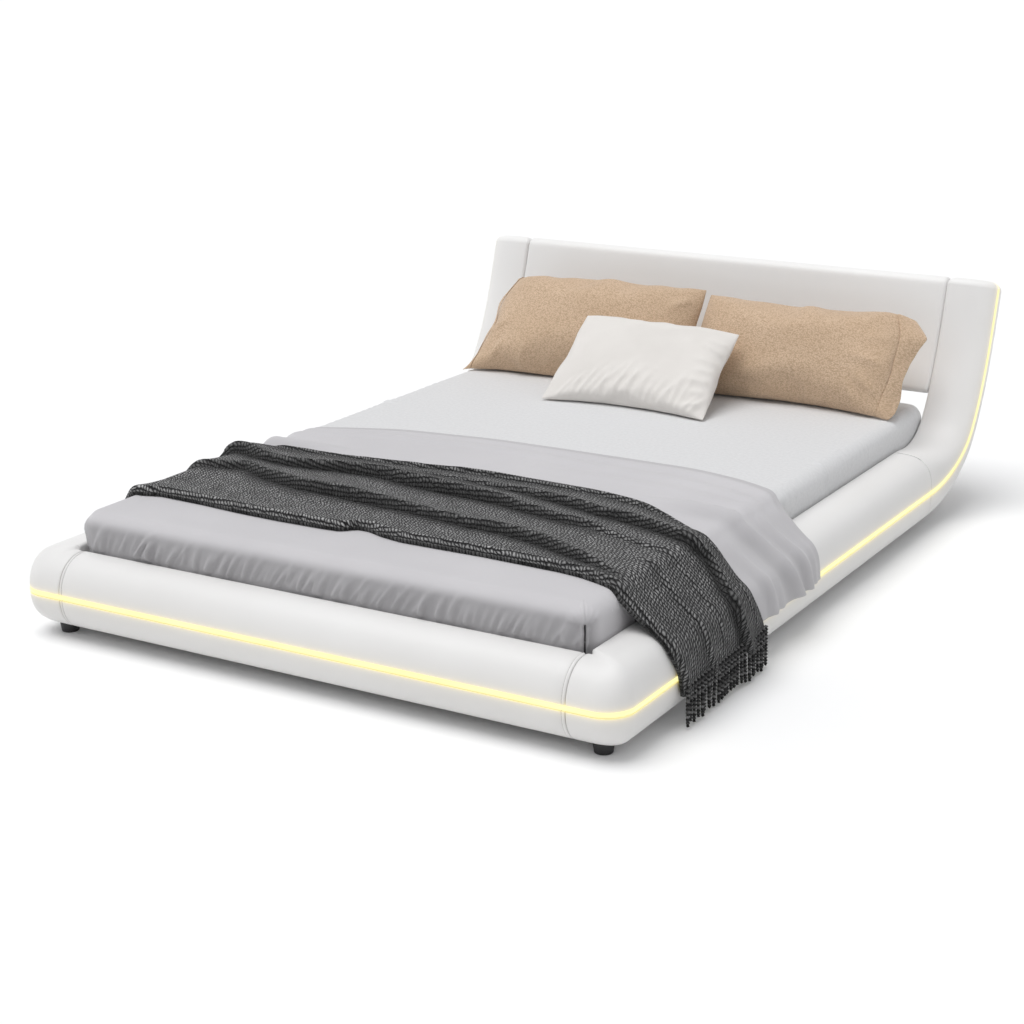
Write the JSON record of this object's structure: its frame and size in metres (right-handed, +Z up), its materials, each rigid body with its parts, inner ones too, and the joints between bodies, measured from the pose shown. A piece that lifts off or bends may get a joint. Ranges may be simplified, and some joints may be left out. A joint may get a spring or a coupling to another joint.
{
  "type": "low upholstered bed with bedding",
  "caption": "Low platform bed with wide rounded upholstered rails, swept-up headboard and a light line, dressed with mattress, sheets, knitted throw, pillows and a cushion.",
  "frame": {"origin": "on the floor, below the middle of the overall outline", "axes": "+X to the right seen from the foot end, +Y from the foot end towards the headboard, +Z up"},
  "size_m": [1.6864, 2.3798, 0.6491],
  "materials": {
    "white_leather": "smooth matte faux leather, off-white",
    "light_strip": "warm white diffuser strip, lit",
    "black_plastic": "matte black moulded plastic",
    "slat_wood": "plain light laminated wood",
    "steel": "satin dark powder coat",
    "mattress_fabric": "knitted mattress ticking, off-white",
    "fitted_sheet": "plain woven cotton, light grey",
    "flat_sheet": "plain woven cotton, grey with a cool tint",
    "throw_knit": "chunky knit, charcoal",
    "pillow_weave": "waffle weave, tan",
    "cushion_fabric": "plain soft cover, cream"
  },
  "bodies": {
    "bed_frame": {"foot_rail": "white_leather", "led_strip_foot": "light_strip", "headboard_panel": "white_leather", "head_cross_rail": "slat_wood", "centre_beam": "steel", "light_controller": "black_plastic", "side_rail_left": "white_leather", "riser_left": "white_leather", "led_strip_left": "light_strip", "slat_ledger_left": "steel", "corner_plate_left": "steel", "panel_bracket_lower_left": "steel", "panel_bracket_upper_left": "steel", "foot_front_left": "black_plastic", "foot_rear_left": "black_plastic", "side_rail_right": "white_leather", "riser_right": "white_leather", "led_strip_right": "light_strip", "slat_ledger_right": "steel", "corner_plate_right": "steel", "panel_bracket_lower_right": "steel", "panel_bracket_upper_right": "steel", "foot_front_right": "black_plastic", "foot_rear_right": "black_plastic", "slat_01": "slat_wood", "slat_02": "slat_wood", "slat_03": "slat_wood", "slat_04": "slat_wood", "slat_05": "slat_wood", "slat_06": "slat_wood", "slat_07": "slat_wood", "slat_08": "slat_wood", "slat_09": "slat_wood", "slat_10": "slat_wood", "slat_11": "slat_wood", "slat_12": "slat_wood", "slat_13": "slat_wood", "centre_leg_1": "black_plastic", "centre_leg_2": "black_plastic", "centre_leg_3": "black_plastic"},
    "mattress_set": {"mattress": "mattress_fabric", "fitted_sheet": "fitted_sheet", "flat_sheet": "flat_sheet"},
    "throw_set": {"throw": "throw_knit", "throw_fringe_left": "throw_knit", "throw_fringe_right": "throw_knit"},
    "pillow_left_set": {"pillow_left": "pillow_weave"},
    "pillow_right_set": {"pillow_right": "pillow_weave"},
    "cushion_set": {"small_cushion": "cushion_fabric"}
  },
  "joints": [
    {"name": "mattress_lift", "type": "slide", "parent": "bed_frame", "child": "mattress_set", "axis": [0, 0, 1], "range_m": [0, 0.35]},
    {"name": "throw_lift", "type": "slide", "parent": "mattress_set", "child": "throw_set", "axis": [0, 0, 1], "range_m": [0, 0.3]},
    {"name": "pillow_left_slide", "type": "slide", "parent": "mattress_set", "child": "pillow_left_set", "axis": [-1, 0, 0], "range_m": [0, 0.75]},
    {"name": "pillow_right_slide", "type": "slide", "parent": "mattress_set", "child": "pillow_right_set", "axis": [1, 0, 0], "range_m": [0, 0.75]},
    {"name": "cushion_lift", "type": "slide", "parent": "mattress_set", "child": "cushion_set", "axis": [0, -0.53, 0.848], "range_m": [0, 0.3]}
  ]
}
